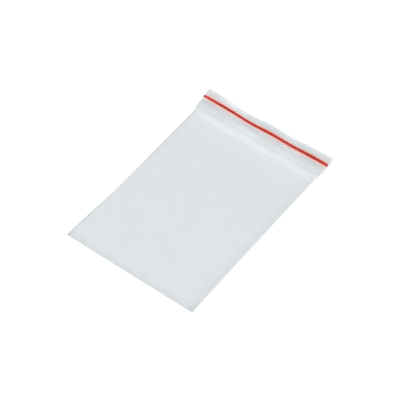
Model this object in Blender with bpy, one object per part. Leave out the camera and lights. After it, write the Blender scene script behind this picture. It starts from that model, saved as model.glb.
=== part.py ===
"""A small clear film bag with a press-to-close zip and a raised red line, lying flat and empty.

The bag lies on its back, with its bottom fold towards -Y and its mouth towards +Y. The back wall
rests on z = 0, and the stiffer band that carries the zip rises a little from it. Heights along
the bag are measured from the bottom fold, and z offsets from the surface midway between the walls.
"""

import math

import bmesh
import bpy
import numpy as np

MM = 0.001

# The whole bag
WIDTH = 71.0 * MM
HEIGHT = 102.4 * MM
FILM = 0.05 * MM
WALL_GAP = 0.3 * MM

# Side seals, and the run over which walls and zip are pressed together beside them
SIDE_SEAL = 0.6 * MM
SEAL_THICK = 0.2 * MM
SEAL_CREASE = 0.04 * MM
SQUASH_RUN = 1.6 * MM

# Outline: how far each side is drawn in at the bottom fold, at the waist and along the zip band
CORNER_IN_LEFT = 0.0 * MM
CORNER_IN_RIGHT = 0.45 * MM
WAIST_IN_LEFT = 1.4 * MM
WAIST_IN_RIGHT = 0.8 * MM
BAND_IN_LEFT = 0.45 * MM
BAND_IN_RIGHT = 0.0 * MM

# Where the waist is reached, and where the sides spread again: from below the strips, over a run
WAIST_RUN = 38.0 * MM
FLARE_LEAD = 2.5 * MM
FLARE_RUN = 5.0 * MM

# The zip band, from the lips down
LIP = 3.65 * MM
STRIP_SETBACK = 0.3 * MM
FLANGE = 3.0 * MM
BAND_BEND = 6.0 * MM
BAND_TILT = math.radians(8.2)
BAND_SWELL = 0.4 * MM

# How the band sags along the red line: the whole line stands a little higher, less two dips
LINE_RISE = 0.15 * MM
LINE_DIP_PLACE = -8.0 * MM
LINE_DIP_REACH = 9.0 * MM
LINE_DIP_DEPTH = 0.9 * MM
LINE_SECOND_PLACE = 15.0 * MM
LINE_SECOND_REACH = 8.0 * MM
LINE_SECOND_DEPTH = 0.55 * MM

# How it sags along the lips, where the first dip is steeper on its left than on its right
LIP_RISE = 0.35 * MM
LIP_DIP_PLACE = -13.5 * MM
LIP_DIP_REACH_LEFT = 7.0 * MM
LIP_DIP_REACH_RIGHT = 11.0 * MM
LIP_DIP_DEPTH = 2.0 * MM
LIP_SECOND_PLACE = 12.0 * MM
LIP_SECOND_REACH = 9.0 * MM
LIP_SECOND_DEPTH = 1.25 * MM

# The zip: a barbed rib in the front strip, held by two hooked jaws in the back strip
ZIP_OPENING = 1.0 * MM
STRIP_THICK = 0.08 * MM
SEAT_GAP = 0.03 * MM
GRIP_GAP = 0.05 * MM
STEM_WIDTH = 0.4 * MM
BARB_WIDTH = 0.84 * MM
BARB_TIP_WIDTH = 0.24 * MM
BARB_HEIGHT = 0.4 * MM
JAW_THICK = 0.28 * MM
HOOK_HEIGHT = 0.2 * MM
BULGE_MARGIN = 0.08 * MM
BULGE_RUN = 0.6 * MM
STRIP_END_GAP = 0.3 * MM

# The raised red line
LINE_WIDTH = 1.35 * MM
LINE_HEIGHT = 0.22 * MM
LINE_END_GAP = 0.1 * MM

# Forms, as shares: the blunt edge of a fold, and the red line's sides and its pressed ends
BLUNT_SHARE = 0.5
LINE_SIDE_SHARE = 0.25
LINE_PRESSED_SHARE = 0.4

# How finely the surfaces are divided, with places as shares of the run that they divide
MIDDLE_COLUMNS = 8
WAIST_ROWS = 4
LINE_ARC_POINTS = 5
FOLD_ROWS = np.array([0.0, 0.25, 1.0])
BEND_ROWS = np.array([0.0, 0.25, 0.5, 0.75])
BULGE_ROWS = np.array([0.0, 0.5, 1.0])
CREASE_COLUMN = 0.2
SQUASH_COLUMNS = np.array([0.4, 0.7, 1.0, 1.9])

# Finishes: colour, roughness and opacity
FILM_FINISH = ((0.80, 0.85, 0.88), 0.18, 0.35)
STRIP_FINISH = ((0.74, 0.80, 0.83), 0.22, 0.5)
RED_FINISH = ((0.55, 0.025, 0.03), 0.3, 1.0)

# Places that follow from the sizes
BODY_HALF = WALL_GAP / 2 + FILM
JAW_HALF = BARB_WIDTH / 2 + GRIP_GAP + JAW_THICK
BULGE_FLAT = JAW_HALF + BULGE_MARGIN
BULGE_REACH = BULGE_FLAT + BULGE_RUN
BULGE_HALF_GAP = ZIP_OPENING / 2 + STRIP_THICK + SEAT_GAP
LINE_TOP = HEIGHT - LIP
LINE_FOOT = LINE_TOP - LINE_WIDTH
ZIP_AT = LINE_FOOT - BULGE_REACH
STRIP_START = ZIP_AT - BULGE_REACH - FLANGE
STRIP_END = HEIGHT - STRIP_SETBACK
BAND_START = STRIP_START - BAND_BEND
LINE_SHARE = (LINE_TOP - LINE_WIDTH / 2 - BAND_START) / (HEIGHT - BAND_START)


def clear_scene():
    """Remove every object that is already in the scene."""
    for thing in list(bpy.data.objects):
        bpy.data.objects.remove(thing, do_unlink=True)


def smooth(t):
    """An S-curve from 0 at t = 0 to 1 at t = 1, level at both ends."""
    t = np.clip(t, 0.0, 1.0)
    return t * t * (3.0 - 2.0 * t)


def blunt_round(distance, radius):
    """Half-thickness of a blunt rounded edge: a share of the radius there, all of it inside."""
    t = np.clip(1.0 - distance / radius, 0.0, 1.0)
    return radius * (BLUNT_SHARE + (1.0 - BLUNT_SHARE) * np.sqrt(1.0 - t * t))


def half_width(up, corner_in, waist_in, band_in):
    """Distance from the centre line to a side edge at height up."""
    below = corner_in + (waist_in - corner_in) * smooth(up / WAIST_RUN)
    spread = smooth((up - STRIP_START + FLARE_LEAD) / FLARE_RUN)
    return WIDTH / 2 - below - (band_in - below) * spread


def half_width_left(up):
    return half_width(up, CORNER_IN_LEFT, WAIST_IN_LEFT, BAND_IN_LEFT)


def half_width_right(up):
    return half_width(up, CORNER_IN_RIGHT, WAIST_IN_RIGHT, BAND_IN_RIGHT)


def columns(up, first_insets):
    """Places across the bag at height up, from the left side to the right.

    Each side starts with its own insets from the edge. The rest are the same for every piece,
    so that pieces that lie on each other have facets that match.
    """
    near = np.concatenate([first_insets, SIDE_SEAL + SQUASH_RUN * SQUASH_COLUMNS])
    share = np.arange(1, MIDDLE_COLUMNS) / MIDDLE_COLUMNS

    def from_edge(half):
        middle = near[-1] + (half - near[-1]) * share
        return half - np.concatenate([near, middle])

    left = -from_edge(half_width_left(up))
    right = from_edge(half_width_right(up))[::-1]
    return np.concatenate([left, [0.0], right])


def pressed(x, up):
    """How far the walls are open beside a seal: 0 at the seal, 1 past the squashed run."""
    half = np.where(x < 0, half_width_left(up), half_width_right(up))
    return smooth((half - SIDE_SEAL - np.abs(x)) / SQUASH_RUN)


def dip(x, place, reach, depth):
    """A smooth dip that is deepest at its place and fades over its reach."""
    return depth * np.exp(-(((x - place) / reach) ** 2))


def line_sag(x):
    """How far the red line sags at x."""
    first = dip(x, LINE_DIP_PLACE, LINE_DIP_REACH, LINE_DIP_DEPTH)
    return first + dip(x, LINE_SECOND_PLACE, LINE_SECOND_REACH, LINE_SECOND_DEPTH) - LINE_RISE


def lip_sag(x):
    """How far the lips sag at x."""
    reach = np.where(x < LIP_DIP_PLACE, LIP_DIP_REACH_LEFT, LIP_DIP_REACH_RIGHT)
    first = dip(x, LIP_DIP_PLACE, reach, LIP_DIP_DEPTH)
    return first + dip(x, LIP_SECOND_PLACE, LIP_SECOND_REACH, LIP_SECOND_DEPTH) - LIP_RISE


def middle_height(x, up):
    """Height of the surface midway between the walls.

    It is level up to the bend below the strips and then rises straight to the lips, less a sag
    in the third and fourth powers of the way from the bend to the lips, with shares of each that
    take it through the sag of the red line and the sag of the lips.
    """
    beyond = np.maximum(up - BAND_START, 0.0)
    run = np.where(beyond < BAND_BEND, beyond ** 2 / (2 * BAND_BEND), beyond - BAND_BEND / 2)
    through = beyond / (HEIGHT - BAND_START)
    cube = LINE_SHARE ** 3
    fourth = (lip_sag(x) * cube - line_sag(x)) / (cube - LINE_SHARE * cube)
    sag = (lip_sag(x) - fourth) * through ** 3 + fourth * through ** 4
    return BODY_HALF + run * math.tan(BAND_TILT) - sag


def zip_bulge(up):
    """How far the walls swell over the zip: 1 across it, 0 beyond the slopes on each side."""
    return 1.0 - smooth((abs(up - ZIP_AT) - BULGE_FLAT) / BULGE_RUN)


def band_swell(up):
    """How far each wall stands off below the zip, which holds the walls apart there."""
    below_zip = smooth((up - BAND_START) / (ZIP_AT - BAND_START))
    return BAND_SWELL / 2 * np.where(up < ZIP_AT, below_zip, 0.0)


def half_gap(up):
    """Half the gap between the walls, away from the seals."""
    body = blunt_round(up - FILM, WALL_GAP / 2) + band_swell(up)
    return body + (BULGE_HALF_GAP - body) * zip_bulge(up)


def half_outside(up):
    """Half the outside thickness of the bag, away from the seals."""
    body = blunt_round(up, BODY_HALF) + band_swell(up)
    return body + (BULGE_HALF_GAP + FILM - body) * zip_bulge(up)


def wall_inside(x, up):
    """Offset of a wall's inner face, pressed to a narrow crease beside the seals."""
    opened = pressed(x, up)
    return SEAL_CREASE / 2 * (1.0 - opened) + half_gap(up) * opened


def wall_outside(x, up):
    """Offset of a wall's outer face, pressed to the thickness of the seals at the sides."""
    opened = pressed(x, up)
    return SEAL_THICK / 2 * (1.0 - opened) + half_outside(up) * opened


def place(x, up, offset):
    """Points of the bag, from places across it, a height and offsets."""
    y = np.full_like(x, up - HEIGHT / 2)
    return np.stack([x, y, middle_height(x, up) + offset], axis=-1)


def band_rows():
    """Heights of the rows from the strips' lower edge to the lips, shared by walls and strips.

    The bulge over the zip ends at the foot of the red line, so its last row is that foot too.
    """
    start = [STRIP_START, STRIP_START + FLANGE / 2]
    slope = BULGE_FLAT + BULGE_RUN * BULGE_ROWS
    lips = [LINE_TOP, LINE_TOP + LIP / 2, STRIP_END]
    return np.concatenate([start, ZIP_AT - slope[::-1], ZIP_AT + slope, lips])


def wall_rows(edge, radius):
    """Heights of a wall's rows, from its rounded bottom edge to the lips."""
    fold = edge + radius * FOLD_ROWS
    waist = WAIST_RUN * np.arange(1, WAIST_ROWS + 1) / WAIST_ROWS
    bend = BAND_START + BAND_BEND * BEND_ROWS
    return np.concatenate([fold, waist, bend, band_rows(), [HEIGHT]])


def ladder(count):
    """Faces that close a loop made of a front row and the same row backwards."""
    return [(i, i + 1, 2 * count - 2 - i, 2 * count - 1 - i) for i in range(count - 1)]


def tube_faces(loops, points):
    """Faces between each closed loop of points and the next one."""
    faces = []
    for row in range(loops - 1):
        start = row * points
        for i in range(points):
            j = (i + 1) % points
            faces.append((start + i, start + j, start + points + j, start + points + i))
    return faces


def add_object(name, vertices, faces, material):
    """Make one closed object from vertices and faces, with its faces turned outwards.

    Each quad is split along its shorter diagonal, so that faces that lie on each other match.
    """
    mesh = bpy.data.meshes.new(name)
    mesh.from_pydata(vertices.tolist(), [], faces)
    shape = bmesh.new()
    shape.from_mesh(mesh)
    bmesh.ops.triangulate(shape, faces=shape.faces, quad_method="SHORT_EDGE")
    bmesh.ops.recalc_face_normals(shape, faces=shape.faces)
    shape.to_mesh(mesh)
    shape.free()
    mesh.materials.append(material)
    thing = bpy.data.objects.new(name, mesh)
    bpy.context.scene.collection.objects.link(thing)


def add_finish(name, finish):
    """A plain material with a colour, a roughness and an opacity."""
    colour, roughness, opacity = finish
    material = bpy.data.materials.new(name)
    material.use_nodes = True
    shader = material.node_tree.nodes["Principled BSDF"]
    shader.inputs["Base Color"].default_value = (*colour, 1.0)
    shader.inputs["Roughness"].default_value = roughness
    shader.inputs["Metallic"].default_value = 0.0
    shader.inputs["Alpha"].default_value = opacity
    return material


def pouch_loop(up, first_insets, offset):
    """One loop round the bag: the front wall from left to right, then the back wall returning."""
    x = columns(up, first_insets)
    rise = offset(x, up)
    front = place(x, up, rise)
    back = place(x, up, -rise)
    return np.concatenate([front, back[::-1]])


def build_pouch():
    """The folded and side-sealed film: up the outside to the lips, then down the inside."""
    outer_insets = np.array([0.0, SIDE_SEAL])
    inner_insets = np.array([SIDE_SEAL, SIDE_SEAL + SQUASH_RUN * CREASE_COLUMN])
    outer_rows = wall_rows(0.0, BODY_HALF)
    inner_rows = wall_rows(FILM, WALL_GAP / 2)[::-1]
    loops = [pouch_loop(up, outer_insets, wall_outside) for up in outer_rows]
    loops += [pouch_loop(up, inner_insets, wall_inside) for up in inner_rows]
    points = len(loops[0])
    faces = tube_faces(len(loops), points)
    faces += ladder(points // 2)
    last = (len(loops) - 1) * points
    faces += [tuple(last + i for i in face) for face in ladder(points // 2)]
    add_object("film_pouch", np.concatenate(loops), faces, add_finish("clear_film", FILM_FINISH))


def rib_outline():
    """The barbed rib on the front strip, as (height from the zip, offset) from low to high."""
    root = ZIP_OPENING / 2
    tip = -ZIP_OPENING / 2 + GRIP_GAP
    shoulder = tip + BARB_HEIGHT
    low_side = [
        (-STEM_WIDTH / 2, root),
        (-STEM_WIDTH / 2, shoulder),
        (-BARB_WIDTH / 2, shoulder),
        (-BARB_TIP_WIDTH / 2, tip),
    ]
    return low_side + [(-along, offset) for along, offset in reversed(low_side)]


def jaw_outline():
    """The two hooked jaws on the back strip, as (height from the zip, offset) from low to high."""
    root = -ZIP_OPENING / 2
    top = ZIP_OPENING / 2 - GRIP_GAP
    hook_under = root + GRIP_GAP + BARB_HEIGHT + GRIP_GAP
    hook_half = STEM_WIDTH / 2 + GRIP_GAP
    pocket_half = BARB_WIDTH / 2 + GRIP_GAP
    low_side = [
        (-JAW_HALF, root),
        (-JAW_HALF, top),
        (-pocket_half, top),
        (-hook_half, hook_under + HOOK_HEIGHT),
        (-hook_half, hook_under),
        (-pocket_half, hook_under),
        (-pocket_half, root),
    ]
    return low_side + [(-along, offset) for along, offset in reversed(low_side)]


def strip_outline(side, teeth):
    """Section of a strip, as (height, offset) points: its seat on the wall, then its face.

    The side is 1 for the strip inside the front wall and -1 for the one inside the back wall.
    """
    rows = band_rows()
    seat = [(up, side * (half_gap(up) - SEAT_GAP)) for up in rows]
    face = [(up, offset - side * STRIP_THICK) for up, offset in seat]
    below = [point for point in face if point[0] < ZIP_AT]
    above = [point for point in face if point[0] > ZIP_AT]
    teeth = [(ZIP_AT + along, offset) for along, offset in teeth]
    return seat[::-1] + below + teeth + above


def build_strip(name, side, teeth, finish):
    """A strip with its teeth, run across the bag and pressed flat with the walls at its ends."""
    insets = np.array([SIDE_SEAL + STRIP_END_GAP])
    rows = []
    for up, offset in strip_outline(side, teeth):
        x = columns(up, insets)
        squash = wall_inside(x, up) / half_gap(up)
        rows.append(place(x, up, offset * squash))
    add_run(name, np.array(rows), finish)


def add_run(name, rows, finish):
    """Close a section that is carried across the bag, given as one row for each section point."""
    section_points, column_count = rows.shape[:2]
    vertices = rows.transpose(1, 0, 2).reshape(-1, 3)
    faces = tube_faces(column_count, section_points)
    last = (column_count - 1) * section_points
    faces.append(tuple(range(section_points)))
    faces.append(tuple(last + i for i in range(section_points)))
    add_object(name, vertices, faces, finish)


def build_red_line():
    """The domed red line, seated on the front wall's outer face and pressed flat at its ends."""
    insets = np.array([LINE_END_GAP, SIDE_SEAL])
    turn = np.linspace(0.0, math.pi, LINE_ARC_POINTS)
    rows = []
    for along, height in zip(1.0 - np.cos(turn), np.sin(turn)):
        up = LINE_FOOT + LINE_WIDTH / 2 * along
        x = columns(up, insets)
        dome = LINE_SIDE_SHARE + (1.0 - LINE_SIDE_SHARE) * height
        kept = LINE_PRESSED_SHARE + (1.0 - LINE_PRESSED_SHARE) * pressed(x, up)
        rows.append(place(x, up, wall_outside(x, up) + SEAT_GAP + LINE_HEIGHT * dome * kept))
    for up in (LINE_TOP, LINE_FOOT):
        x = columns(up, insets)
        rows.append(place(x, up, wall_outside(x, up) + SEAT_GAP))
    add_run("red_line", np.array(rows), add_finish("red_line_plastic", RED_FINISH))


def main():
    clear_scene()
    build_pouch()
    strip_finish = add_finish("clear_strip", STRIP_FINISH)
    build_strip("zip_rib_strip", 1, rib_outline(), strip_finish)
    build_strip("zip_track_strip", -1, jaw_outline(), strip_finish)
    build_red_line()


main()
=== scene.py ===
"""Dresses a small press-to-close film bag: fine film, zip and line surfaces, finishes and stage.

The bag lies flat, with its bottom fold towards -Y and its mouth towards +Y. In the functions here
"up" is the distance from the bottom fold along the bag, as a column of rows, "x" is the place
across it, and "offset" is the height off the surface midway between its walls.
"""

import math

import bpy
import numpy as np
from mathutils import Matrix, Quaternion, Vector


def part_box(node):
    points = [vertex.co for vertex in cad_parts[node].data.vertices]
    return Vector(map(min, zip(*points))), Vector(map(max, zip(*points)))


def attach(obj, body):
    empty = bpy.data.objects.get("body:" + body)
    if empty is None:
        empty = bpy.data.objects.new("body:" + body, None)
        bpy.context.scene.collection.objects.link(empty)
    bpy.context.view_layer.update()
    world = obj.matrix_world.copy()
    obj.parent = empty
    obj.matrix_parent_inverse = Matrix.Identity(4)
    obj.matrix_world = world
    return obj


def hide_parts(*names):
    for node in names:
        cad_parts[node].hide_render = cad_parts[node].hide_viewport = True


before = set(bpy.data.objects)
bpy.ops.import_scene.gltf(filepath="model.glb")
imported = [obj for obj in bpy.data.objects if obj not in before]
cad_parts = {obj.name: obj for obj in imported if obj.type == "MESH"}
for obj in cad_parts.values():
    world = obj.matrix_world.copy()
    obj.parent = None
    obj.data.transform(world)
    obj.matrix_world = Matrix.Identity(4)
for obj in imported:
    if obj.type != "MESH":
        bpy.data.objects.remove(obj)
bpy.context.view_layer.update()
POUCH_LOW, POUCH_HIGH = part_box("film_pouch")

bl_info = {
    "name": "Press-to-close film bag",
    "version": (1, 0, 0),
    "blender": (4, 5, 0),
    "location": "3D Viewport > Sidebar > Film Bag",
    "description": "Makes the film, the zip strips, the red line, their finishes and the stage",
    "category": "Add Mesh",
}

MM = 0.001

# In these numbers a pair named FROM, TO, START or END is a smooth rise, as (where it starts, its
# run), and a bell is (place, reach, height)

# Shares: of the radius at a blunt edge, of the red line's height at its sides and where it is
# pressed, and of an edge that may go into a rounded corner
BLUNT_SHARE = 0.5
LINE_SIDE_SHARE = 0.08
LINE_PRESSED_SHARE = 0.4
CORNER_SHARE = 0.4

# How far the red line thins out beyond its width, and the angle from which an edge is sharp
LINE_FEATHER = 0.15 * MM
SHARP_ANGLE = math.radians(40.0)

# How finely the surfaces are divided: places in a weld, shares of the run over which the walls
# open, and heights up to which rows lie closer together
MIDDLE_COLUMNS = 150
LINE_ARC_POINTS = 19
LINE_FOOT_STEPS = 10
WELD_PLACES = np.array([0.0, 0.02, 0.06, 0.12, 0.2, 0.3, 0.42]) * MM
INNER_WELD_SHARE = 0.9
OPENING_PLACES = np.array([0.15, 0.3, 0.45, 0.6, 0.75, 0.9, 1.1, 1.6])
STRIP_END_PLACES = np.array([0.0, 0.12, 0.25, 0.4, 0.55, 0.7, 0.9, 1.4])
LINE_END_PLACES = np.array([0.0, 0.05, 0.15, 0.3]) * MM
FOLD_ROWS_SHARE = 0.3
FOLD_ROWS_END = 3.0 * MM
LIP_ROWS_END = 1.4 * MM

# Sags of the red line and of the lips. Each dip is its place across the bag, its reach to the
# left, its reach to the right and its depth, and both lines are lifted a little as a whole
LINE_DIPS = np.array([(-8.0, 9.0, 9.0, 0.9), (15.0, 8.0, 8.0, 0.55)]) * MM
LINE_LIFT = 0.15 * MM
LIP_DIPS = np.array([(-13.5, 7.0, 11.0, 2.0), (12.0, 9.0, 9.0, 1.25)]) * MM
LIP_LIFT = 0.35 * MM

# Welded end tabs of the lips: how long they are, how they fade and set in, and how far they close
TAB_LEFT = 6.3 * MM
TAB_RIGHT = 6.0 * MM
TAB_FADE = 0.5 * MM
TAB_ONSET = 0.6 * MM
TAB_CLOSED = 0.8

# Cut edge and melted bead of a side weld
CUT_ROUND = 0.12 * MM
CUT_SHARE = 0.12
BEAD = (0.16 * MM, 0.14 * MM, 0.3)
RIPPLE_SHARE = 0.12
RIPPLE_SIZES = (0.45 * MM, 1.9 * MM)

# Slack in the front wall: its long waves, and its short puckers, whose rhythm wanders
SLACK_RUNS = 3
SLACK_START = (0.0, 6.0 * MM)
WAVE_HEIGHT = 0.012 * MM
WAVE_SIZES = (5.1 * MM, 17.0 * MM, 6.7 * MM)
WAVE_PHASE = 1.3
PUCKER_HEIGHT = 0.02 * MM
PUCKER_SIZE = 0.75 * MM
PUCKER_REACH = 3.2 * MM
WANDER = 2.0
WANDER_SIZE = 9.0 * MM

# Small forms of the zip: rounded corners, and the grip ridges below it
CORNER_RADIUS = 0.04 * MM
RIDGE_PLACES = np.array([0.45, 1.15, 1.85]) * MM
RIDGE_REACH = 0.13 * MM
RIDGE_HEIGHT = 0.06 * MM

# Lips cleared to paint a highlight: above the red line, and between two places across the bag
LIP_HIGHLIGHT_START = (0.7 * MM, 1.8 * MM)
LIP_HIGHLIGHT_FROM = (-26.0 * MM, 5.0 * MM)
LIP_HIGHLIGHT_TO = (-14.5 * MM, 4.0 * MM)

# Painted shade and sheen in the film's tone: darker creases, strips and patches, and a sheen below
# the zip
LEFT_CREASE_SHADE = (0.6 * MM, 0.34 * MM, 0.5)
CREASE_FAINT_FROM = (17.0 * MM, 8.0 * MM)
CREASE_FAINT_TO = (52.0 * MM, 8.0 * MM)
CREASE_FAINT = 0.85
RIGHT_EDGE_SHADE = (1.7 * MM, 1.7 * MM, 0.12)
RIGHT_BAND_RUN = 5.0 * MM
RIGHT_BAND_SHARE = 0.3
FOLD_SHADE = (1.0 * MM, 2.1 * MM, 0.16)
CORNER_SHADE = (0.0, 5.0 * MM, 0.05)
LOW_SHADE = 0.03
LOW_END = (4.0 * MM, 40.0 * MM)
PAINTED_SHEEN_ZONE = (-12.5 * MM, 3.0 * MM, 0.05)

# Haze of the film, where 1 is that of the plain walls
WELD_HAZE = 0.6
WELD_END = (0.1 * MM, 0.9 * MM)
FOLD_HAZE = 0.2
FOLD_END = (0.3 * MM, 1.3 * MM)
LIP_HAZE = 0.25
LIP_RUN = 0.5 * MM
ARCHED_HAZE = 0.35
ARCHED_END = (0.3 * MM, 0.6 * MM)
ARCHED_FROM = (-12.0 * MM, 8.0 * MM)
TAB_HAZE = 0.15
MOUTH_HAZE = 0.2
MOUTH_START = (1.2 * MM, 2.0 * MM)
# Clearing where a highlight is painted on the lips
LIP_HIGHLIGHT_CLEARING = 0.45
CLEARING = 0.3
CLEARING_END = (0.9 * MM, 0.8 * MM)
CLEARING_LOSS = 0.15
CLEARING_LOSS_FROM = (-8.0 * MM, 16.0 * MM)

# Blush of the film beside the red line and in the end tabs, and mattness of the lips
BLUSH_END = (0.85 * MM, 1.1 * MM)
BLUSH_START = (0.0, 1.5 * MM)
TAB_BLUSH = 0.07
LIP_MATT = 1.3

# Haze of the zip strips
FLANGE_HAZE = 0.14
TEETH_HAZE = 0.42
TEETH_LOW_SHARE = 0.5
TEETH_HIGH_FROM = (-0.8 * MM, 1.2 * MM)
CRUSHED_HAZE = 0.9
CRUSHED_END = (-31.0 * MM, 6.0 * MM)
FLANGE_EDGE = (0.4 * MM, 0.25 * MM, 0.3)
TEETH_EDGE = (-0.5 * MM, 0.4 * MM, 0.3)

# Red line: dense core, thin edges with painted light through them, painted shade at its left pinch
CORE_HALF = 0.34 * MM
CORE_WIDER = 0.06 * MM
CORE_LEAN = 0.14 * MM
CORE_RIGHT_FROM = (4.0 * MM, 16.0 * MM)
CORE_NARROWER = 0.2 * MM
CORE_MIDDLE = 3.0 * MM
CORE_ENDS_FROM = (25.0 * MM, 12.0 * MM)
CORE_FADE = 0.5 * MM
EDGE_THINNER = 0.77
EDGE_PAINTED_GLOW = 1.55
PINCH_SHADE = 0.85
PINCH_SHADE_END = (0.3 * MM, 0.9 * MM)

# Refractive index of polyethylene film
FILM_IOR = 1.51

# Film walls and teeth that one line of sight may cross
SEE_THROUGH_LAYERS = 32

# Floor: how far it reaches, and how far it lies below the bag
FLOOR_REACH = 4.0
FLOOR_DROP = 0.02 * MM

# Soft panels: name, direction, distance, size and power
PANELS = (
    ("overhead_panel", (0.1, 0.0, 1.0), 1.6, (1.2, 1.2), 15.6),
    ("far_panel", (-0.39, 0.352, 0.845), 5.0, (1.8, 0.40), 25.0),
)


def length(name, description, millimetres):
    """A length property whose default is given in millimetres."""
    return bpy.props.FloatProperty(
        name=name,
        description=description,
        default=millimetres * MM,
        precision=5,
        unit="LENGTH",
        subtype="DISTANCE",
    )


def share(name, description, value):
    """A plain number from 0 to 1."""
    return bpy.props.FloatProperty(
        name=name, description=description, default=value, min=0.0, max=1.0, subtype="FACTOR"
    )


def colour(name, description, value):
    """A linear colour."""
    return bpy.props.FloatVectorProperty(
        name=name, description=description, default=value, size=3, min=0.0, max=1.0, subtype="COLOR"
    )


def angle(name, description, degrees):
    """An angle property whose default is given in degrees."""
    return bpy.props.FloatProperty(
        name=name, description=description, default=math.radians(degrees), subtype="ANGLE"
    )


class BagSizes(bpy.types.PropertyGroup):
    """Sizes of the film pouch."""

    width: length("Width", "Across the zip band", (POUCH_HIGH.x - POUCH_LOW.x) / MM)
    height: length("Height", "From the bottom fold to the lips", (POUCH_HIGH.y - POUCH_LOW.y) / MM)
    film: length("Film", "Thickness of the film", 0.05)
    wall_gap: length("Wall gap", "Between the walls of the empty bag", 0.3)
    side_seal: length("Side seal", "Width of the weld down each side", 0.6)
    seal_thick: length("Seal thickness", "Of both films welded together", 0.2)
    seal_crease: length("Seal crease", "What is left of the gap beside a weld", 0.04)
    squash_run: length("Squash run", "Over which the walls open beside a weld", 1.6)
    corner_in_left: length("Left corner in", "How far the left side is drawn in at the fold", 0.0)
    corner_in_right: length("Right corner in", "How far the right side is drawn in there", 0.45)
    waist_in_left: length("Left waist in", "How far the left side is drawn in at the waist", 1.4)
    waist_in_right: length("Right waist in", "How far the right side is drawn in there", 0.8)
    band_in_left: length("Left band in", "How far the left side is drawn in at the zip", 0.45)
    band_in_right: length("Right band in", "How far the right side is drawn in there", 0.0)
    waist_run: length("Waist run", "Height at which the waist is reached", 38.0)
    flare_lead: length("Flare lead", "How far below the strips the sides start to spread", 2.5)
    flare_run: length("Flare run", "Over which the sides spread to the zip band", 5.0)
    lip: length("Lip", "From the red line to the mouth", 3.65)
    setback: length("Strip setback", "From the strips' upper edge to the mouth", 0.3)
    flange: length("Flange", "From the strips' lower edge to the swell over the zip", 3.0)
    bend: length("Bend", "Length of film that turns up to the zip band", 6.0)
    tilt: angle("Tilt", "How steeply the zip band rises", 8.2)
    swell: length("Swell", "How far the zip holds the walls apart below it", 0.4)


class ZipSizes(bpy.types.PropertyGroup):
    """Sizes of the zip and of the red line."""

    opening: length("Opening", "Between the faces of the two strips", 1.0)
    strip_thick: length("Strip thickness", "Of each strip behind its teeth", 0.08)
    seat_gap: length("Seat gap", "Between a strip or the red line and the film", 0.03)
    grip_gap: length("Grip gap", "Between the rib and the jaws", 0.05)
    stem_width: length("Stem width", "Of the rib", 0.4)
    barb_width: length("Barb width", "Of the rib", 0.84)
    barb_tip_width: length("Barb tip width", "Of the rib", 0.24)
    barb_height: length("Barb height", "Of the rib", 0.4)
    jaw_thick: length("Jaw thickness", "Of each jaw", 0.28)
    hook_height: length("Hook height", "Of each jaw's hook", 0.2)
    bulge_margin: length("Bulge margin", "Of the level film beside the jaws", 0.08)
    bulge_run: length("Bulge run", "Of the film's slope beside the jaws", 0.6)
    end_gap: length("End gap", "From a strip's end to the weld", 0.3)
    line_width: length("Line width", "Of the red line", 1.35)
    line_height: length("Line height", "Of the red line", 0.22)
    line_end_gap: length("Line end gap", "From the red line's end to the side", 0.1)


class BagFinishes(bpy.types.PropertyGroup):
    """Colours and opacities of the bag's plastics."""

    film_colour: colour("Film colour", "Of the hazy film", (0.60, 0.68, 0.725))
    film_opacity: share("Film opacity", "Of each face of the film", 0.14)
    strip_colour: colour("Strip colour", "Of the zip strips", (0.55, 0.62, 0.64))
    strip_opacity: share("Strip opacity", "Of each face of a strip", 0.065)
    line_colour: colour("Line colour", "Of the red line", (0.375, 0.018, 0.010))
    line_opacity: share("Line opacity", "Of each face of the red line", 0.999)
    blush_colour: colour("Blush colour", "Of the film beside the red line", (1.0, 0.16, 0.0))


class StageLook(bpy.types.PropertyGroup):
    """Light, floor and camera."""

    floor_colour: colour("Floor colour", "Of the pale floor", (0.62, 0.62, 0.62))
    floor_glow: share("Floor glow", "What the camera sees beside the lit floor", 0.45)
    world_light: share("World light", "Strength of the plain surround", 0.42)
    lens: bpy.props.FloatProperty(
        name="Lens", description="Focal length in millimetres", default=194.09, min=1.0
    )
    distance: length("Distance", "From the camera to its target", 960.90)
    azimuth: angle("Azimuth", "Of the camera, round the bag", 40.825)
    elevation: angle("Elevation", "Of the camera above the floor", 52.247)
    roll: angle("Roll", "Of the camera about its line of sight", -3.612)
    target_x: length("Target X", "Where the camera looks", 0.106)
    target_y: length("Target Y", "Where the camera looks", -1.124)


def smooth(t):
    """An S-curve from 0 at t = 0 to 1 at t = 1, level at both ends: 3 t^2 - 2 t^3."""
    t = np.clip(t, 0.0, 1.0)
    return t * t * (3.0 - 2.0 * t)


def hump(distance, reach):
    """A bell that is 1 at no distance and fades over the reach: e^-(d / r)^2."""
    return np.exp(-((distance / reach) ** 2))


def ramp(value, start, run):
    """A smooth rise: 0 up to the start, 1 once the run is covered."""
    return smooth((value - start) / run)


def between(value, opening, closing):
    """1 between a smooth rise and a smooth fall, each given as (start, run), and 0 outside."""
    return ramp(value, *opening) * (1.0 - ramp(value, *closing))


def bell(value, place, reach, height):
    """A hump of a height round a place."""
    return height * hump(value - place, reach)


def sag(x, dips, lift):
    """How far a line sags at x: a hump for each dip, with its reach on that side, less a lift."""
    total = -lift
    for place, left, right, depth in dips:
        total = total + bell(x, place, np.where(x < place, left, right), depth)
    return total


def blunt_round(distance, radius):
    """Half-thickness of a blunt rounded edge: a share of the radius there, all of it inside."""
    t = np.clip(1.0 - distance / radius, 0.0, 1.0)
    return radius * (BLUNT_SHARE + (1.0 - BLUNT_SHARE) * np.sqrt(1.0 - t * t))


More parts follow.
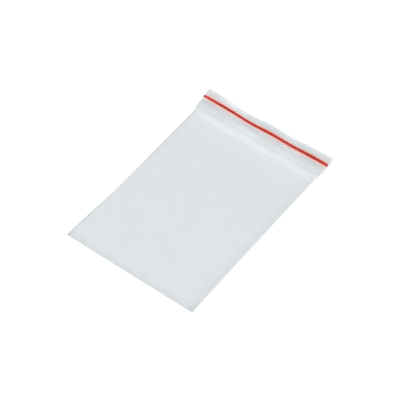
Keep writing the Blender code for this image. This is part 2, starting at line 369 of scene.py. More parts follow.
class Bag:
    """The bag's places and surfaces, worked out from its sizes."""

    def __init__(self, context):
        self.sizes = s = context.scene.bag_sizes
        self.zip = z = context.scene.zip_sizes
        self.body_half = s.wall_gap / 2 + s.film
        self.jaw_half = z.barb_width / 2 + z.grip_gap + z.jaw_thick
        self.bulge_flat = self.jaw_half + z.bulge_margin
        self.bulge_reach = self.bulge_flat + z.bulge_run
        self.bulge_half_gap = z.opening / 2 + z.strip_thick + z.seat_gap
        self.line_top = s.height - s.lip
        self.line_foot = self.line_top - z.line_width
        self.zip_at = self.line_foot - self.bulge_reach
        self.strip_start = self.zip_at - self.bulge_reach - s.flange
        self.strip_end = s.height - s.setback
        self.band_start = self.strip_start - s.bend
        self.line_middle = self.line_foot + z.line_width / 2
        self.line_share = (self.line_middle - self.band_start) / (s.height - self.band_start)

    def half_width(self, up, corner_in, waist_in, band_in):
        """Distance from the centre line to a side edge at height up."""
        s = self.sizes
        below = corner_in + (waist_in - corner_in) * smooth(up / s.waist_run)
        spread = ramp(up, self.strip_start - s.flare_lead, s.flare_run)
        return s.width / 2 - below - (band_in - below) * spread

    def half_width_left(self, up):
        s = self.sizes
        return self.half_width(up, s.corner_in_left, s.waist_in_left, s.band_in_left)

    def half_width_right(self, up):
        s = self.sizes
        return self.half_width(up, s.corner_in_right, s.waist_in_right, s.band_in_right)

    def columns(self, up, near, count):
        """Places across the bag: the near insets from each side, and even steps between them."""
        t = np.linspace(0.0, 1.0, count + 2)[1:-1]
        left = -self.half_width_left(up) + near
        right = self.half_width_right(up) - near[::-1]
        first, last = left[:, -1:], right[:, :1]
        return np.concatenate([left, first + (last - first) * t, right], axis=1)

    def inset(self, x, up):
        """Distance from the nearer side edge."""
        half = np.where(x < 0, self.half_width_left(up), self.half_width_right(up))
        return half - np.abs(x)

    def tab(self, x, up):
        """1 where the ends of the lips are welded together, and 0 along the free lips."""
        reach = np.where(x < 0, TAB_LEFT, TAB_RIGHT)
        return 1.0 - ramp(self.inset(x, up), reach, TAB_FADE)

    def openness(self, x, up):
        """How far the walls are open: 0 at a weld, a little in the lips' end tabs, else 1."""
        beside = ramp(self.inset(x, up), self.sizes.side_seal, self.sizes.squash_run)
        lip = ramp(up, self.line_top, TAB_ONSET)
        return beside * (1.0 - TAB_CLOSED * lip * self.tab(x, up))

    def middle_height(self, x, up):
        """Height of the surface midway between the walls.

        It is level up to the bend below the strips and then rises straight to the lips, less a
        sag in the third and fourth powers of the way from the bend to the lips, with shares of
        each that take it through the sag of the red line and the sag of the lips.
        """
        s = self.sizes
        beyond = np.maximum(up - self.band_start, 0.0)
        run = np.where(beyond < s.bend, beyond**2 / (2 * s.bend), beyond - s.bend / 2)
        through = beyond / (s.height - self.band_start)
        at_line, at_lips = sag(x, LINE_DIPS, LINE_LIFT), sag(x, LIP_DIPS, LIP_LIFT)
        cube = self.line_share**3
        fourth = (at_lips * cube - at_line) / (cube - self.line_share * cube)
        sagging = (at_lips - fourth) * through**3 + fourth * through**4
        return self.body_half + run * math.tan(s.tilt) - sagging

    def zip_bulge(self, up):
        """How far the walls swell over the zip: 1 across it, 0 beyond the slopes beside it."""
        return 1.0 - ramp(np.abs(up - self.zip_at), self.bulge_flat, self.zip.bulge_run)

    def band_swell(self, up):
        """How far each wall stands off below the zip, which holds the walls apart there."""
        below_zip = ramp(up, self.band_start, self.zip_at - self.band_start)
        return self.sizes.swell / 2 * np.where(up < self.zip_at, below_zip, 0.0)

    def half_gap(self, up):
        """Half the gap between the walls, away from the welds."""
        body = blunt_round(up - self.sizes.film, self.sizes.wall_gap / 2) + self.band_swell(up)
        return body + (self.bulge_half_gap - body) * self.zip_bulge(up)

    def half_outside(self, up):
        """Half the outside thickness of the bag, away from the welds."""
        body = blunt_round(up, self.body_half) + self.band_swell(up)
        return body + (self.bulge_half_gap + self.sizes.film - body) * self.zip_bulge(up)

    def bead(self, x, up):
        """Half-thickness of a weld: a melted bead, round at the cut edge, with a low ripple.

        The edge is a share of the thickness and a quarter of an ellipse up to all of it, and the
        ripple is the product of two sines of the height.
        """
        inset = self.inset(x, up)
        t = np.clip(1.0 - inset / CUT_ROUND, 0.0, 1.0)
        edge = CUT_SHARE + (1.0 - CUT_SHARE) * np.sqrt(1.0 - t * t)
        short, long = RIPPLE_SIZES
        ripple = 1.0 + RIPPLE_SHARE * np.sin(up / short) * np.sin(up / long)
        return self.sizes.seal_thick / 2 * edge * (1.0 + bell(inset, *BEAD) * ripple)

    def wall_inside(self, x, up):
        """Offset of a wall's inner face, pressed to a narrow crease beside the welds."""
        opened = self.openness(x, up)
        return self.sizes.seal_crease / 2 * (1.0 - opened) + self.half_gap(up) * opened

    def wall_outside(self, x, up):
        """Offset of a wall's outer face, pressed to the bead of the welds at the sides."""
        opened = self.openness(x, up)
        return self.bead(x, up) * (1.0 - opened) + self.half_outside(up) * opened

    def front_wave(self, x, up):
        """Slack in the front wall: long low waves, and short puckers that run in from the welds.

        Both are sines. They fade out beside the welds, at the fold and at the bend.
        """
        s = self.sizes
        inset = self.inset(x, up)
        beside = ramp(inset, s.side_seal, SLACK_RUNS * s.squash_run)
        body = between(up, SLACK_START, (self.band_start, s.bend))
        across, slant, upward = WAVE_SIZES
        waves = np.sin(x / across + up / slant) + np.sin(up / upward + WAVE_PHASE)
        wander = WANDER * np.sin(up / WANDER_SIZE)
        puckers = np.sin(up / PUCKER_SIZE + wander) * hump(inset, PUCKER_REACH)
        return beside * body * (WAVE_HEIGHT * waves + PUCKER_HEIGHT * puckers)

    def place(self, x, up, offset):
        """Points of the bag, from places across it, heights and offsets."""
        y = np.broadcast_to(up - self.sizes.height / 2, x.shape)
        return np.stack([x, y, self.middle_height(x, up) + offset], axis=-1)


def loop_quads(loops, points):
    """Quads between each closed loop of points and the next one."""
    start = np.arange(loops - 1)[:, None] * points
    i = np.arange(points)[None, :]
    j = (i + 1) % points
    quads = np.stack([start + i, start + j, start + points + j, start + points + i], axis=-1)
    return quads.reshape(-1, 4)


def ladder_quads(count, first):
    """Quads that close a loop made of a row of points and the same row backwards."""
    i = np.arange(count - 1)
    return first + np.stack([i, i + 1, 2 * count - 2 - i, 2 * count - 1 - i], axis=-1)


def signed_volume(points, faces):
    """Six times the volume inside closed faces, below zero where they point inwards."""
    total = 0.0
    for corners in faces:
        a, b, c = points[corners[:, 0]], points[corners[:, 1:-1]], points[corners[:, 2:]]
        total += np.einsum("ij,ikj->", a, np.cross(b, c))
    return total


def add_piece(name, points, faces, layers, material):
    """Makes a closed mesh object from points, lists of like faces and one value per point."""
    points = points.reshape(-1, 3)
    if signed_volume(points, faces) < 0:
        faces = [corners[:, ::-1] for corners in faces]
    mesh = bpy.data.meshes.new(name)
    mesh.from_pydata(points.tolist(), [], [row for corners in faces for row in corners.tolist()])
    mesh.polygons.foreach_set("use_smooth", np.ones(len(mesh.polygons), dtype=bool))
    mesh.set_sharp_from_angle(angle=SHARP_ANGLE)
    for layer, values in layers.items():
        attribute = mesh.attributes.new(layer, "FLOAT", "POINT")
        attribute.data.foreach_set("value", values.astype(np.float32).ravel())
    mesh.materials.append(material)
    piece = bpy.data.objects.new(name, mesh)
    bpy.context.scene.collection.objects.link(piece)
    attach(piece, "root")
    return piece


def spaced(*stops):
    """Rising places with even steps: each stop is (place, number of steps up to it)."""
    places = [stops[0][0]]
    for (start, _), (end, steps) in zip(stops[:-1], stops[1:]):
        places.extend(start + (end - start) * np.arange(1, steps + 1) / steps)
    return np.array(places)


def painted_lip_highlight(bag, x, up):
    """1 where the lips are cleared to paint a highlight, towards their left end, else 0."""
    return ramp(up - bag.line_top, *LIP_HIGHLIGHT_START) * between(x, LIP_HIGHLIGHT_FROM, LIP_HIGHLIGHT_TO)


def film_painted_shade_and_sheen(bag, x, up):
    """Tone of the film, with painted shade and sheen: 1, less in painted shade, more in a sheen.

    Painted shade: a thin dark crease beside the left weld, fainter half-way up, and a broad one
    beside the right side, fainter at the band; a dark strip along the fold, a dark patch at the
    right corner and a slight shade over the lower half. A painted sheen lies below the zip. All
    but the lower shade are bells of the distance from their places.
    """
    inset = bag.inset(x, up)
    faint = CREASE_FAINT * between(up, CREASE_FAINT_FROM, CREASE_FAINT_TO)
    # Painted shade: creases beside the welds, a strip at the fold, the right corner and the lower
    # half
    left = (x < 0) * bell(inset, *LEFT_CREASE_SHADE) * (1.0 - faint)
    in_band = (1.0 - RIGHT_BAND_SHARE) * ramp(up, bag.band_start, RIGHT_BAND_RUN)
    right = (x > 0) * bell(inset, *RIGHT_EDGE_SHADE) * (1.0 - in_band)
    fold = bell(up, *FOLD_SHADE)
    corner = bell(np.hypot(bag.half_width_right(up) - x, up), *CORNER_SHADE)
    low = LOW_SHADE * (1.0 - ramp(up, *LOW_END))
    # Painted sheen: a bell that lifts the tone below the zip
    painted_sheen = bell(up - bag.line_foot, *PAINTED_SHEEN_ZONE)
    return 1.0 + painted_sheen - left - right - fold - corner - low


def film_layers(bag, x, up):
    """Haze, tone, blush and mattness of the film at each point, read by its finish.

    Haze is more at the welds, at the fold and in the lips, most of all where they arch up and in
    their welded end tabs. It is less where a highlight is painted on the lips as clearer film,
    and beside the red line, less so on the right. The film blushes beside the red line, and
    faintly in the end tabs. The lips are matt.
    """
    inset = bag.inset(x, up)
    lip = ramp(up, bag.line_top, LIP_RUN) * np.ones_like(x)
    tab = bag.tab(x, up) * lip
    mouth = ramp(up - bag.line_top, *MOUTH_START)
    arched = 1.0 - ramp(sag(x, LIP_DIPS, LIP_LIFT), *ARCHED_END)
    off_line = np.abs(up - bag.line_middle)
    clearing = CLEARING - CLEARING_LOSS * ramp(x, *CLEARING_LOSS_FROM)

    haze = 1.0 + WELD_HAZE * (1.0 - ramp(inset, *WELD_END))
    haze += FOLD_HAZE * (1.0 - ramp(up, *FOLD_END))
    haze += LIP_HAZE * lip + tab * (TAB_HAZE + MOUTH_HAZE * mouth)
    haze += ARCHED_HAZE * lip * (1.0 - tab) * arched * ramp(x, *ARCHED_FROM)
    haze -= clearing * (1.0 - ramp(off_line, *CLEARING_END))
    # Painted highlight: the lips' film cleared towards their left end
    haze -= LIP_HIGHLIGHT_CLEARING * painted_lip_highlight(bag, x, up)

    blush = (1.0 - ramp(off_line, *BLUSH_END)) * ramp(inset, *BLUSH_START)
    return {
        "haze": haze,
        "tone": film_painted_shade_and_sheen(bag, x, up),
        "blush": np.maximum(blush, TAB_BLUSH * tab),
        "matt": LIP_MATT * lip,
    }


def strip_layers(bag, x, up):
    """Haze and tone of a strip: faint in its thin flanges, dense where its teeth are.

    The teeth are denser on their upper side, and where the left end is crushed. The edges of the
    lower flange are fine bells. A strip is clear where the lips are cleared to paint a highlight.
    """
    high = ramp(up - bag.zip_at, *TEETH_HIGH_FROM)
    teeth = bag.zip_bulge(up) * (TEETH_LOW_SHARE + (1.0 - TEETH_LOW_SHARE) * high)
    crushed = 1.0 + CRUSHED_HAZE * (1.0 - ramp(x, *CRUSHED_END))
    haze = FLANGE_HAZE * (1.0 - painted_lip_highlight(bag, x, up)) + TEETH_HAZE * teeth * crushed
    haze += bell(up - bag.strip_start, *FLANGE_EDGE)
    haze += bell(up - bag.zip_at + bag.bulge_reach, *TEETH_EDGE)
    return {"haze": haze, "tone": np.ones_like(x)}


def line_layers(bag, x, up):
    """Haze and tone of the red line: thin at its edges, with painted light coming through them.

    Its dense core lies higher and is wider towards the right, and narrows towards both ends.
    Shade is painted dark on the line where the left weld pinches it.
    """
    right = ramp(x, *CORE_RIGHT_FROM)
    ends = ramp(np.abs(x - CORE_MIDDLE), *CORE_ENDS_FROM)
    core = CORE_HALF + CORE_WIDER * right - CORE_NARROWER * ends
    edge = ramp(np.abs(up - bag.line_middle - CORE_LEAN * right), core, CORE_FADE)
    pinched_end_shade = (x < 0) * PINCH_SHADE * (1.0 - ramp(bag.inset(x, up), *PINCH_SHADE_END))
    # Painted light brightens the thin edges, and painted shade darkens the pinched left end
    tone = (1.0 + EDGE_PAINTED_GLOW * edge) * (1.0 - pinched_end_shade)
    return {"haze": 1.0 - EDGE_THINNER * edge, "tone": tone}


def link(tree, source, target):
    tree.links.new(source, target)


def node(tree, kind, place, **settings):
    """Adds a shader node of a kind at a place in the editor, with its settings."""
    made = tree.nodes.new(kind)
    made.location = (place[0] * 200, place[1] * 200)
    for key, value in settings.items():
        setattr(made, key, value)
    return made


def maths(tree, operation, place, first, second):
    """A Math node whose inputs are sockets or numbers."""
    made = node(tree, "ShaderNodeMath", place, operation=operation)
    for socket, value in zip(made.inputs, (first, second)):
        if isinstance(value, float):
            socket.default_value = value
        else:
            link(tree, value, socket)
    return made.outputs[0]


def group_tree(name, inputs, outputs):
    """A new shader node group, with its inputs and outputs as (name, socket type, default)."""
    tree = bpy.data.node_groups.new(name, "ShaderNodeTree")
    for direction, sockets in (("INPUT", inputs), ("OUTPUT", outputs)):
        for socket_name, kind, default in sockets:
            socket = tree.interface.new_socket(socket_name, in_out=direction, socket_type=kind)
            if default is not None:
                socket.default_value = default
    return tree


def make_cloud_group():
    """Faint cloudiness of blown film: two sizes of noise move a value up and down about 1."""
    tree = group_tree(
        "Film cloudiness",
        [
            ("Vector", "NodeSocketVector", None),
            ("Amount", "NodeSocketFloat", 0.05),
        ],
        [("Factor", "NodeSocketFloat", None)],
    )
    start = node(tree, "NodeGroupInput", (0, 0))
    end = node(tree, "NodeGroupOutput", (6, 0))
    wide = node(tree, "ShaderNodeTexNoise", (1, 1))
    wide.inputs["Scale"].default_value = 90.0
    wide.inputs["Detail"].default_value = 2.0
    fine = node(tree, "ShaderNodeTexNoise", (1, -1))
    fine.inputs["Scale"].default_value = 900.0
    fine.inputs["Detail"].default_value = 3.0
    for noise in (wide, fine):
        link(tree, start.outputs["Vector"], noise.inputs["Vector"])
    both = maths(tree, "ADD", (2, 0), wide.outputs["Fac"], fine.outputs["Fac"])
    centred = maths(tree, "SUBTRACT", (3, 0), both, 1.0)
    scaled = maths(tree, "MULTIPLY", (4, 0), centred, start.outputs["Amount"])
    link(tree, maths(tree, "ADD", (5, 0), scaled, 1.0), end.inputs["Factor"])
    return tree


def make_line_group():
    """Fine lines left by the die, running across the bag: noise stretched far along X."""
    tree = group_tree(
        "Die lines",
        [
            ("Vector", "NodeSocketVector", None),
            ("Lines per metre", "NodeSocketFloat", 2500.0),
        ],
        [("Height", "NodeSocketFloat", None)],
    )
    start = node(tree, "NodeGroupInput", (0, 0))
    end = node(tree, "NodeGroupOutput", (4, 0))
    stretch = node(tree, "ShaderNodeMapping", (1, 0))
    stretch.inputs["Scale"].default_value = (0.01, 1.0, 1.0)
    link(tree, start.outputs["Vector"], stretch.inputs["Vector"])
    lines = node(tree, "ShaderNodeTexNoise", (2, 0))
    lines.inputs["Detail"].default_value = 2.0
    link(tree, stretch.outputs["Vector"], lines.inputs["Vector"])
    link(tree, start.outputs["Lines per metre"], lines.inputs["Scale"])
    link(tree, lines.outputs["Fac"], end.inputs["Height"])
    return tree


def place_group(tree, group, place, source, **values):
    """Places a group in a material, feeds it Object coordinates and sets its values."""
    made = node(tree, "ShaderNodeGroup", place)
    made.node_tree = group
    link(tree, source, made.inputs["Vector"])
    for key, value in values.items():
        made.inputs[key.replace("_", " ")].default_value = value
    return made


def plastic(name, rgb, opacity, *, roughness, cloud, line_depth, specular=0.5, blush=None):
    """A hazy plastic: cloudy colour, opacity and roughness, and die lines as a bump.

    The mesh's attributes scale them at each point: tone the colour, haze the opacity, and matt
    adds to the roughness. A blush is a second colour, which the attribute of that name mixes in.
    """
    material = bpy.data.materials.new(name)
    material.use_nodes = True
    tree = material.node_tree
    shader = tree.nodes["Principled BSDF"]
    shader.location = (1600, 0)
    tree.nodes["Material Output"].location = (1900, 0)
    shader.inputs["IOR"].default_value = FILM_IOR
    shader.inputs["Specular IOR Level"].default_value = specular
    where = node(tree, "ShaderNodeTexCoord", (0, 0)).outputs["Object"]

    clouds = place_group(tree, bpy.data.node_groups["Film cloudiness"], (1, 1), where, Amount=cloud)
    tone = node(tree, "ShaderNodeAttribute", (1, 2), attribute_name="tone")
    shade = maths(tree, "MULTIPLY", (2, 1), clouds.outputs["Factor"], tone.outputs["Fac"])
    tint = node(tree, "ShaderNodeMix", (4, 1), data_type="RGBA", blend_type="MULTIPLY")
    tint.inputs["Factor"].default_value = 1.0
    tint.inputs["A"].default_value = (*rgb, 1.0)
    link(tree, shade, tint.inputs["B"])
    coloured = tint.outputs["Result"]
    if blush is not None:
        mixed = node(tree, "ShaderNodeMix", (6, 1), data_type="RGBA")
        mixed.inputs["B"].default_value = (*blush, 1.0)
        much = node(tree, "ShaderNodeAttribute", (4, 2), attribute_name="blush")
        link(tree, much.outputs["Fac"], mixed.inputs["Factor"])
        link(tree, coloured, mixed.inputs["A"])
        coloured = mixed.outputs["Result"]
    link(tree, coloured, shader.inputs["Base Color"])

    matt = node(tree, "ShaderNodeAttribute", (1, 0), attribute_name="matt")
    rougher = maths(tree, "ADD", (2, 0), matt.outputs["Fac"], 1.0)
    cloudy = maths(tree, "MULTIPLY", (3, 0), clouds.outputs["Factor"], roughness)
    rough = maths(tree, "MULTIPLY", (4, 0), cloudy, rougher)
    link(tree, rough, shader.inputs["Roughness"])

    haze = node(tree, "ShaderNodeAttribute", (1, -1), attribute_name="haze")
    dense = maths(tree, "MULTIPLY", (2, -1), haze.outputs["Fac"], opacity)
    alpha = maths(tree, "MULTIPLY", (4, -1), dense, clouds.outputs["Factor"])
    link(tree, alpha, shader.inputs["Alpha"])

    lines = place_group(tree, bpy.data.node_groups["Die lines"], (4, -2), where)
    bump = node(tree, "ShaderNodeBump", (6, -2))
    bump.inputs["Strength"].default_value = 1.0
    bump.inputs["Distance"].default_value = line_depth
    link(tree, lines.outputs["Height"], bump.inputs["Height"])
    link(tree, bump.outputs["Normal"], shader.inputs["Normal"])
    return material


def pouch_rows(bag, edge, radius):
    """Heights of a wall's rows, closer together at the fold, over the zip and in the lips."""
    return spaced(
        (edge, 0),
        (edge + radius * FOLD_ROWS_SHARE, 4),
        (edge + radius, 3),
        (FOLD_ROWS_END, 3),
        (bag.band_start, 52),
        (bag.strip_start, 14),
        (bag.zip_at - bag.bulge_reach, 6),
        (bag.zip_at - bag.bulge_flat, 6),
        (bag.zip_at + bag.bulge_flat, 4),
        (bag.line_foot, 6),
        (bag.line_top, 4),
        (bag.line_top + LIP_ROWS_END, 7),
        (bag.sizes.height, 6),
    )


def there_and_back(going, returning):
    """Values across the bag from left to right, then others from right to left."""
    return np.concatenate([going, returning[:, ::-1]], axis=1)


def pouch_loops(bag, rows, near, surface):
    """Loops round the bag: the front wall from left to right, then the back wall returning."""
    up = rows[:, None]
    x = bag.columns(up, near, MIDDLE_COLUMNS)
    offset = surface(x, up)
    front = bag.place(x, up, offset + bag.front_wave(x, up))
    back = bag.place(x, up, -offset)
    layers = film_layers(bag, x, up)
    doubled = {key: there_and_back(value, value) for key, value in layers.items()}
    return there_and_back(front, back), doubled


class FILMBAG_OT_pouch(bpy.types.Operator):
    """Makes the folded and side-welded film, up its outside and down its inside"""

    bl_idname = "film_bag.pouch"
    bl_label = "Film pouch"

    def execute(self, context):
        bag = Bag(context)
        s = bag.sizes
        finishes = context.scene.bag_finishes
        opening = s.side_seal + s.squash_run * OPENING_PLACES
        crease = np.linspace(0.0, INNER_WELD_SHARE * OPENING_PLACES[0], len(WELD_PLACES) + 1)
        outer_near = np.concatenate([WELD_PLACES, [s.side_seal], opening])
        inner_near = np.concatenate([s.side_seal + s.squash_run * crease, opening])
        outer_rows = pouch_rows(bag, 0.0, bag.body_half)
        inner_rows = pouch_rows(bag, s.film, s.wall_gap / 2)[::-1]
        outer, outer_layers = pouch_loops(bag, outer_rows, outer_near, bag.wall_outside)
        inner, inner_layers = pouch_loops(bag, inner_rows, inner_near, bag.wall_inside)
        loops = np.concatenate([outer, inner])
        count, points = loops.shape[:2]
        faces = np.concatenate([
            loop_quads(count, points),
            ladder_quads(points // 2, 0),
            ladder_quads(points // 2, (count - 1) * points),
        ])
        layers = {
            key: np.concatenate([values, inner_layers[key]]) for key, values in outer_layers.items()
        }
        material = plastic(
            "hazy_film",
            finishes.film_colour,
            finishes.film_opacity,
            roughness=0.15,
            cloud=0.05,
            line_depth=0.004 * MM,
            blush=finishes.blush_colour,
        )
        pouch = add_piece("film_bag_pouch", loops, [faces], layers, material)
        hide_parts("film_pouch")
        return {"FINISHED"}


def rounded(outline, radius):
    """An open outline with each inner corner cut back by the radius and given a middle point."""
    before, corner, after = outline[:-2], outline[1:-1], outline[2:]

    def towards(other):
        way = other - corner
        size = np.linalg.norm(way, axis=1, keepdims=True)
        return corner + way * np.minimum(radius / size, CORNER_SHARE)

    start, end = towards(before), towards(after)
    middle = (start + 2 * corner + end) / 4
    cut = np.stack([start, middle, end], axis=1).reshape(-1, 2)
    return np.concatenate([outline[:1], cut, outline[-1:]])


def mirrored(low_side):
    """A tooth outline from its low side: the same points again on the high side, reversed."""
    return np.array(low_side + [(-along, offset) for along, offset in reversed(low_side)])


def rib_outline(z):
    """The barbed rib on the front strip, as (height from the zip, offset) from low to high."""
    root = z.opening / 2
    tip = z.grip_gap - root
    shoulder = tip + z.barb_height
    return mirrored([
        (-z.stem_width / 2, root),
        (-z.stem_width / 2, shoulder),
        (-z.barb_width / 2, shoulder),
        (-z.barb_tip_width / 2, tip),
    ])


def jaw_outline(bag):
    """The two hooked jaws on the back strip, as (height from the zip, offset), low to high."""
    z = bag.zip
    root = -z.opening / 2
    top = z.opening / 2 - z.grip_gap
    hook_under = root + 2 * z.grip_gap + z.barb_height
    hook_half = z.stem_width / 2 + z.grip_gap
    pocket_half = z.barb_width / 2 + z.grip_gap
    return mirrored([
        (-bag.jaw_half, root),
        (-bag.jaw_half, top),
        (-pocket_half, top),
        (-hook_half, hook_under + z.hook_height),
        (-hook_half, hook_under),
        (-pocket_half, hook_under),
        (-pocket_half, root),
    ])


def strip_section(bag, side, teeth):
    """Section of a strip as (height, offset) points: its seat on the wall, then its toothed face.

    The side is 1 for the strip inside the front wall and -1 for the one inside the back wall.
    Low ridges run along the face below the zip, where fingers grip the bag.
    """
    z = bag.zip
    rows = spaced(
        (bag.strip_start, 0),
        (bag.zip_at - bag.bulge_reach, 24),
        (bag.zip_at - bag.bulge_flat, 6),
        (bag.zip_at + bag.bulge_flat, 4),
        (bag.line_foot, 6),
        (bag.strip_end, 12),
    )
    offset = side * (bag.half_gap(rows) - z.seat_gap)
    seat = np.stack([rows, offset], axis=1)
    ridges = sum(hump(rows - bag.strip_start - place, RIDGE_REACH) for place in RIDGE_PLACES)
    face = np.stack([rows, offset - side * (z.strip_thick + RIDGE_HEIGHT * ridges)], axis=1)
    below = face[rows < bag.zip_at - bag.jaw_half]
    above = face[rows > bag.zip_at + bag.jaw_half]
    teeth = rounded(teeth, CORNER_RADIUS) + np.array([bag.zip_at, 0.0])
    return np.concatenate([seat[::-1], below, teeth, above])


def add_run(name, rows, layers, material):
    """Closes a section that is carried across the bag: rows of points by section and column."""
    section, columns = rows.shape[:2]
    points = rows.transpose(1, 0, 2)
    sides = loop_quads(columns, section)
    ends = np.stack([np.arange(section), (columns - 1) * section + np.arange(section)[::-1]])
    turned = {key: value.T for key, value in layers.items()}
    return add_piece(name, points, [sides, ends], turned, material)


def add_strip(bag, name, side, teeth, material):
    """A strip with its teeth, run across the bag and pressed flat with the walls at its ends."""
    section = strip_section(bag, side, teeth)
    up, offset = section[:, :1], section[:, 1:]
    near = bag.sizes.side_seal + bag.zip.end_gap + bag.sizes.squash_run * STRIP_END_PLACES
    x = bag.columns(up, near, MIDDLE_COLUMNS)
    squash = bag.wall_inside(x, up) / bag.half_gap(up)
    return add_run(name, bag.place(x, up, offset * squash), strip_layers(bag, x, up), material)


class FILMBAG_OT_zip(bpy.types.Operator):
    """Makes the two strips of the zip, pressed shut: the barbed rib and the hooked jaws"""

    bl_idname = "film_bag.zip"
    bl_label = "Zip strips"

    def execute(self, context):
        bag = Bag(context)
        finishes = context.scene.bag_finishes
        material = plastic(
            "zip_plastic",
            finishes.strip_colour,
            finishes.strip_opacity,
            roughness=0.3,
            cloud=0.06,
            line_depth=0.006 * MM,
        )
        strips = (
            ("rib_strip", "zip_rib_strip", 1, rib_outline(bag.zip)),
            ("track_strip", "zip_track_strip", -1, jaw_outline(bag)),
        )
        for name, cad_node, side, teeth in strips:
            strip = add_strip(bag, name, side, teeth, material)
            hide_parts(cad_node)
        return {"FINISHED"}


class FILMBAG_OT_red_line(bpy.types.Operator):
    """Makes the domed red line on the front wall, pressed flat at its ends"""

    bl_idname = "film_bag.red_line"
    bl_label = "Red line"

    def execute(self, context):
        bag = Bag(context)
        s, z = bag.sizes, bag.zip
        finishes = context.scene.bag_finishes
        turn = np.linspace(0.0, math.pi, LINE_ARC_POINTS)[:, None]
        reach = z.line_width / 2 + LINE_FEATHER
        low, high = bag.line_middle - reach, bag.line_middle + reach
        arc = bag.line_middle - reach * np.cos(turn)
        foot = spaced((high, 0), (low, LINE_FOOT_STEPS))[:, None]
        up = np.concatenate([arc, foot])
        opening = s.side_seal + s.squash_run * OPENING_PLACES
        near = np.concatenate([z.line_end_gap + LINE_END_PLACES, [s.side_seal], opening])
        x = bag.columns(up, near, MIDDLE_COLUMNS)
        dome = LINE_SIDE_SHARE + (1.0 - LINE_SIDE_SHARE) * np.sin(turn) ** 3
        kept = LINE_PRESSED_SHARE + (1.0 - LINE_PRESSED_SHARE) * bag.openness(x, up)
        rise = np.concatenate([z.line_height * dome, np.zeros_like(foot)]) * kept
        rows = bag.place(x, up, bag.wall_outside(x, up) + z.seat_gap + rise)
        material = plastic(
            "red_plastic",
            finishes.line_colour,
            finishes.line_opacity,
            roughness=0.5,
            cloud=0.12,
            line_depth=0.008 * MM,
            specular=0.25,
        )
        line = add_run("red_marker_line", rows, line_layers(bag, x, up), material)
        line.visible_shadow = False
        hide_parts("red_line")
        return {"FINISHED"}


def seen_directly(tree):
    """A socket that is 1 for rays from the camera, off gloss or through glass, and 0 for light."""
    path = node(tree, "ShaderNodeLightPath", (-1, 0))
    camera, gloss = path.outputs["Is Camera Ray"], path.outputs["Is Glossy Ray"]
    either = maths(tree, "MAXIMUM", (0, 0), camera, gloss)
    return maths(tree, "MAXIMUM", (1, 0), either, path.outputs["Is Transmission Ray"])


def add_floor(look):
    """A wide pale floor just under the bag, which the camera and reflections see as white."""
    mesh = bpy.data.meshes.new("floor")
    sides = ((-1, -1), (1, -1), (1, 1), (-1, 1))
    corners = [(x * FLOOR_REACH, y * FLOOR_REACH, -FLOOR_DROP) for x, y in sides]
    mesh.from_pydata(corners, [], [(0, 1, 2, 3)])
    floor = bpy.data.objects.new("floor", mesh)
    bpy.context.scene.collection.objects.link(floor)
    material = bpy.data.materials.new("pale_floor")
    material.use_nodes = True
    tree = material.node_tree
    tree.nodes.remove(tree.nodes["Principled BSDF"])
    matt = node(tree, "ShaderNodeBsdfDiffuse", (3, 1))
    matt.inputs["Color"].default_value = (*look.floor_colour, 1.0)
    glow = node(tree, "ShaderNodeEmission", (3, -1))
    seen = maths(tree, "MULTIPLY", (2, -1), seen_directly(tree), look.floor_glow)
    link(tree, seen, glow.inputs["Strength"])
    both = node(tree, "ShaderNodeAddShader", (4, 0))
    link(tree, matt.outputs[0], both.inputs[0])
    link(tree, glow.outputs[0], both.inputs[1])
    link(tree, both.outputs[0], tree.nodes["Material Output"].inputs["Surface"])
    mesh.materials.append(material)


def light_world(scene, look):
    """An even grey surround for light, and plain white where it is seen or mirrored."""
    world = bpy.data.worlds.new("surround")
    scene.world = world
    world.use_nodes = True
    tree = world.node_tree
    back = tree.nodes["Background"]
    back.inputs["Color"].default_value = (1.0, 1.0, 1.0, 1.0)
    rest = maths(tree, "MULTIPLY", (2, 0), seen_directly(tree), 1.0 - look.world_light)
    link(tree, maths(tree, "ADD", (3, 0), rest, look.world_light), back.inputs["Strength"])


def add_panel(name, direction, distance, size, power):
    """A soft panel light at a distance along a direction, facing the bag, its length along X."""
    light = bpy.data.lights.new(name, "AREA")
    light.shape = "RECTANGLE"
    light.size, light.size_y = size
    light.energy = power
    panel = bpy.data.objects.new(name, light)
    way = Vector(direction).normalized()
    panel.location = way * distance
    across = Vector((1.0, 0.0, 0.0))
    across = (across - way * across.dot(way)).normalized()
    turn = Matrix((across, way.cross(across), way)).transposed()
    panel.rotation_mode = "QUATERNION"
    panel.rotation_quaternion = turn.to_quaternion()
    bpy.context.scene.collection.objects.link(panel)


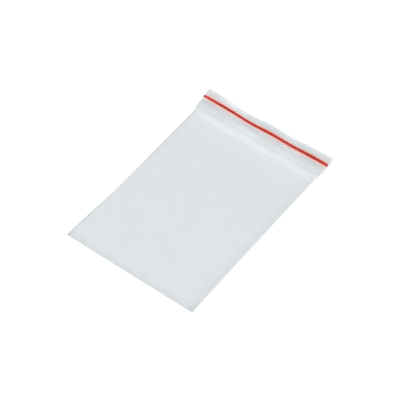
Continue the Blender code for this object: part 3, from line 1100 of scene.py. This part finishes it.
def add_camera(scene, look):
    """The camera at the photograph's angle: back along the azimuth and elevation, then rolled."""
    a, e = look.azimuth, look.elevation
    back = Vector((math.sin(a) * math.cos(e), -math.cos(a) * math.cos(e), math.sin(e)))
    data = bpy.data.cameras.new("photo_camera")
    data.sensor_width = 36.0
    data.lens = look.lens
    data.clip_start, data.clip_end = 0.01, 20.0
    camera = bpy.data.objects.new("photo_camera", data)
    camera.rotation_mode = "QUATERNION"
    roll = Quaternion((0.0, 0.0, 1.0), look.roll)
    camera.rotation_quaternion = back.to_track_quat("Z", "Y") @ roll
    camera.location = Vector((look.target_x, look.target_y, 0.0)) + back * look.distance
    scene.collection.objects.link(camera)
    scene.camera = camera


class FILMBAG_OT_stage(bpy.types.Operator):
    """Makes the pale floor, the soft light and the camera"""

    bl_idname = "film_bag.stage"
    bl_label = "Stage"

    def execute(self, context):
        scene = context.scene
        look = scene.stage_look
        scene.view_settings.view_transform = "Standard"
        scene.cycles.transparent_max_bounces = SEE_THROUGH_LAYERS
        add_floor(look)
        light_world(scene, look)
        for panel in PANELS:
            add_panel(*panel)
        add_camera(scene, look)
        return {"FINISHED"}


class FILMBAG_PT_panel(bpy.types.Panel):
    """Lists the operators that make the bag and its stage"""

    bl_label = "Film Bag"
    bl_idname = "FILMBAG_PT_panel"
    bl_space_type = "VIEW_3D"
    bl_region_type = "UI"
    bl_category = "Film Bag"

    def draw(self, context):
        for operator in OPERATORS:
            self.layout.operator(operator.bl_idname)
        for settings in SETTINGS:
            box = self.layout.box()
            for key in SETTINGS[settings].__annotations__:
                box.prop(getattr(context.scene, settings), key)


SETTINGS = {
    "bag_sizes": BagSizes,
    "zip_sizes": ZipSizes,
    "bag_finishes": BagFinishes,
    "stage_look": StageLook,
}
OPERATORS = (FILMBAG_OT_pouch, FILMBAG_OT_zip, FILMBAG_OT_red_line, FILMBAG_OT_stage)
CLASSES = (*SETTINGS.values(), *OPERATORS, FILMBAG_PT_panel)


def register():
    for cls in CLASSES:
        bpy.utils.register_class(cls)
    for settings, cls in SETTINGS.items():
        setattr(bpy.types.Scene, settings, bpy.props.PointerProperty(type=cls))


def unregister():
    for settings in SETTINGS:
        delattr(bpy.types.Scene, settings)
    for cls in reversed(CLASSES):
        bpy.utils.unregister_class(cls)


def main():
    """Makes the bag and its stage."""
    register()
    make_cloud_group()
    make_line_group()
    bpy.ops.film_bag.pouch()
    bpy.ops.film_bag.zip()
    bpy.ops.film_bag.red_line()
    bpy.ops.film_bag.stage()


if __name__ == "__main__":
    main()
